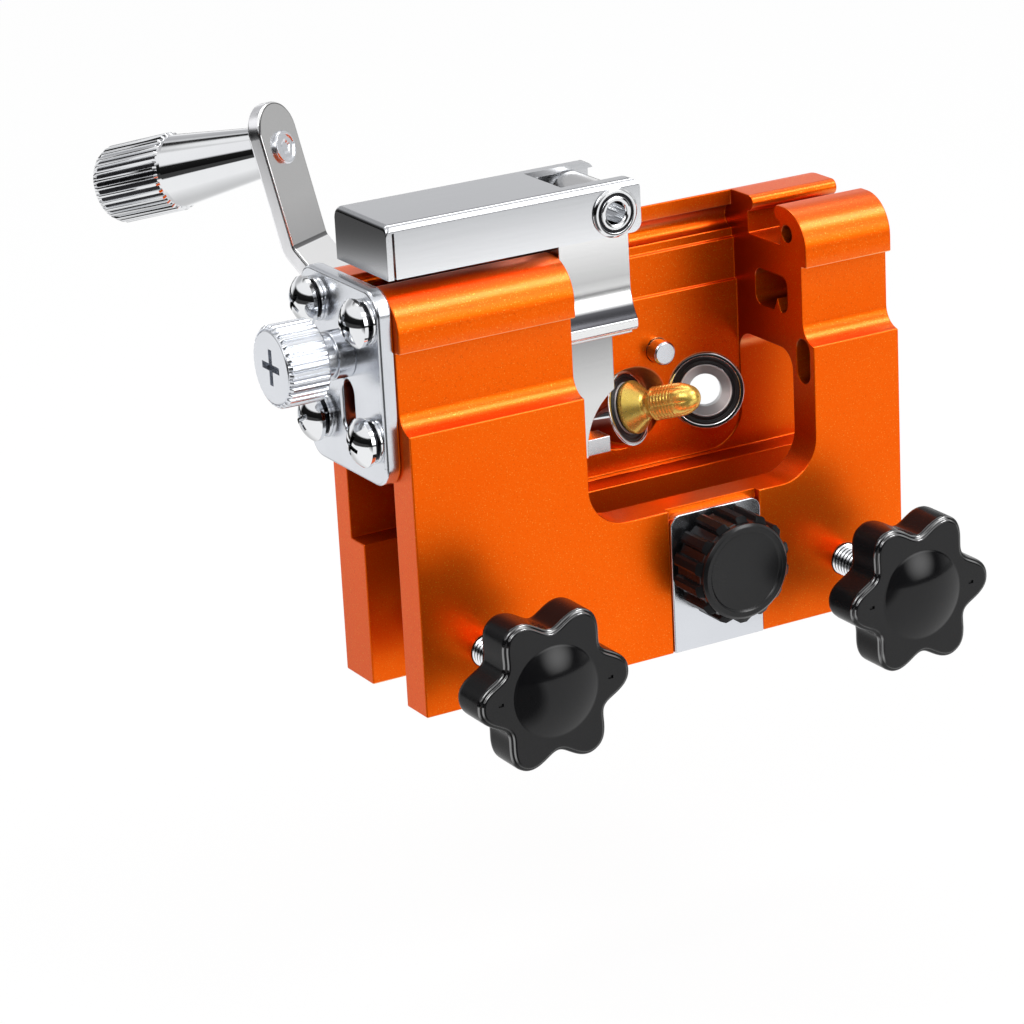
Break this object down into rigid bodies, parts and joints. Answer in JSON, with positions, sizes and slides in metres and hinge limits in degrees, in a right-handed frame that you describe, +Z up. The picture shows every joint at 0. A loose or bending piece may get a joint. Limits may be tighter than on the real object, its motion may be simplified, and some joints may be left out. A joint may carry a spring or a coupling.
{
  "type": "manual chainsaw sharpener",
  "caption": "Hand-cranked chain sharpener: orange clamp-on housing with a tilted grinding spindle, a feed-screw stop with a lift lever, star-knob clamps and a sliding gauge.",
  "frame": {"origin": "on the jaw face, midway between the two clamp screws and level with their axes", "axes": "+X along the slot to the right as seen from the knob side, +Y towards the crank side, +Z up"},
  "size_m": [0.162, 0.2023, 0.1269],
  "materials": {
    "orange_aluminium": "bead-blasted, orange anodised",
    "chrome": "polished plating",
    "bright_steel": "bright zinc-plated steel",
    "gold_burr": "gold nitride coat on steel",
    "black_seal": "matt",
    "black_plastic": "glossy moulded"
  },
  "bodies": {
    "housing": {"housing": "orange_aluminium", "end_plate": "chrome", "end_plate_screws": "chrome", "end_plate_washers": "bright_steel", "stop_pin": "chrome", "bearing_ring_left": "chrome", "bearing_balls_left": "bright_steel", "bearing_seals_left": "black_seal", "bearing_ring_right": "chrome", "bearing_balls_right": "bright_steel", "bearing_seals_right": "black_seal"},
    "left_sleeve": {"sleeve_left": "chrome"},
    "spindle": {"spindle": "bright_steel", "burr": "gold_burr", "crank_arm": "chrome", "crank_nut": "chrome", "grip_pin": "bright_steel"},
    "grip": {"grip_handle": "chrome"},
    "right_sleeve": {"sleeve_right": "chrome"},
    "feed_screw": {"feed_screw": "chrome", "feed_clip": "bright_steel"},
    "stop_slide": {"slide_block": "chrome"},
    "lever": {"lift_lever": "chrome", "lever_rivet": "bright_steel", "lift_pin": "bright_steel"},
    "stop_pawl": {"stop_pawl": "bright_steel"},
    "clamp_pad_left": {"clamp_pad_left": "bright_steel"},
    "clamp_knob_left": {"clamp_screw_left": "bright_steel", "clamp_knob_left": "black_plastic"},
    "clamp_pad_right": {"clamp_pad_right": "bright_steel"},
    "clamp_knob_right": {"clamp_screw_right": "bright_steel", "clamp_knob_right": "black_plastic"},
    "gauge_plate": {"gauge_plate": "chrome"},
    "gauge_washer": {"gauge_washer": "bright_steel"},
    "gauge_knob": {"gauge_screw": "bright_steel", "gauge_knob": "black_plastic"}
  },
  "joints": [
    {"name": "crank_spin", "type": "hinge", "parent": "housing", "child": "left_sleeve", "pos_m": [0.0103, 0.006, 0.0392], "axis": [0.483, -0.8365, 0.2588], "continuous": true},
    {"name": "spindle_plunge", "type": "slide", "parent": "left_sleeve", "child": "spindle", "axis": [0.483, -0.8365, 0.2588], "range_m": [0, 0.015]},
    {"name": "grip_spin", "type": "hinge", "parent": "spindle", "child": "grip", "pos_m": [-0.04003, 0.09317, 0.09609], "axis": [-0.483, 0.8365, -0.2588], "continuous": true},
    {"name": "right_sleeve_spin", "type": "hinge", "parent": "housing", "child": "right_sleeve", "pos_m": [0.0325, 0.006, 0.0392], "axis": [-0.483, -0.8365, 0.2588], "continuous": true},
    {"name": "feed_spin", "type": "hinge", "parent": "housing", "child": "feed_screw", "pos_m": [-0.068, -0.0045, 0.072], "axis": [1, 0, 0], "range_deg": [-1729, 0]},
    {"name": "stop_feed", "type": "slide", "parent": "housing", "child": "stop_slide", "axis": [1, 0, 0], "range_m": [0, 0.006]},
    {"name": "lever_lift", "type": "hinge", "parent": "stop_slide", "child": "lever", "pos_m": [-0.0067, -0.0066, 0.0968], "axis": [0, 1, 0], "range_deg": [0, 45]},
    {"name": "pawl_lift", "type": "slide", "parent": "stop_slide", "child": "stop_pawl", "axis": [0, 0, 1], "range_m": [0, 0.00804]},
    {"name": "clamp_left_travel", "type": "slide", "parent": "housing", "child": "clamp_pad_left", "axis": [0, 1, 0], "range_m": [-0.0075, 0.00187]},
    {"name": "clamp_left_spin", "type": "hinge", "parent": "clamp_pad_left", "child": "clamp_knob_left", "pos_m": [-0.051, -0.0265, 0], "axis": [0, 1, 0], "range_deg": [-2161, 541]},
    {"name": "clamp_right_travel", "type": "slide", "parent": "housing", "child": "clamp_pad_right", "axis": [0, 1, 0], "range_m": [-0.0075, 0.00187]},
    {"name": "clamp_right_spin", "type": "hinge", "parent": "clamp_pad_right", "child": "clamp_knob_right", "pos_m": [0.051, -0.0265, 0], "axis": [0, 1, 0], "range_deg": [-2161, 541]},
    {"name": "gauge_slide", "type": "slide", "parent": "housing", "child": "gauge_plate", "axis": [0, 0, 1], "range_m": [-0.004, 0.01]},
    {"name": "gauge_release", "type": "slide", "parent": "housing", "child": "gauge_washer", "axis": [0, 1, 0], "range_m": [-0.001, 0]},
    {"name": "gauge_spin", "type": "hinge", "parent": "gauge_washer", "child": "gauge_knob", "pos_m": [0.0133, -0.0265, 0.009], "axis": [0, 1, 0], "range_deg": [-361, 0]}
  ],
  "couplings": [
    {"joint": "feed_spin", "follows": "stop_feed", "rad_per_m": -5026.5},
    {"joint": "pawl_lift", "follows": "lever_lift", "m_per_rad": 0.010232},
    {"joint": "clamp_left_spin", "follows": "clamp_left_travel", "rad_per_m": 5026.5},
    {"joint": "clamp_right_spin", "follows": "clamp_right_travel", "rad_per_m": 5026.5},
    {"joint": "gauge_spin", "follows": "gauge_release", "rad_per_m": 6283.2}
  ]
}
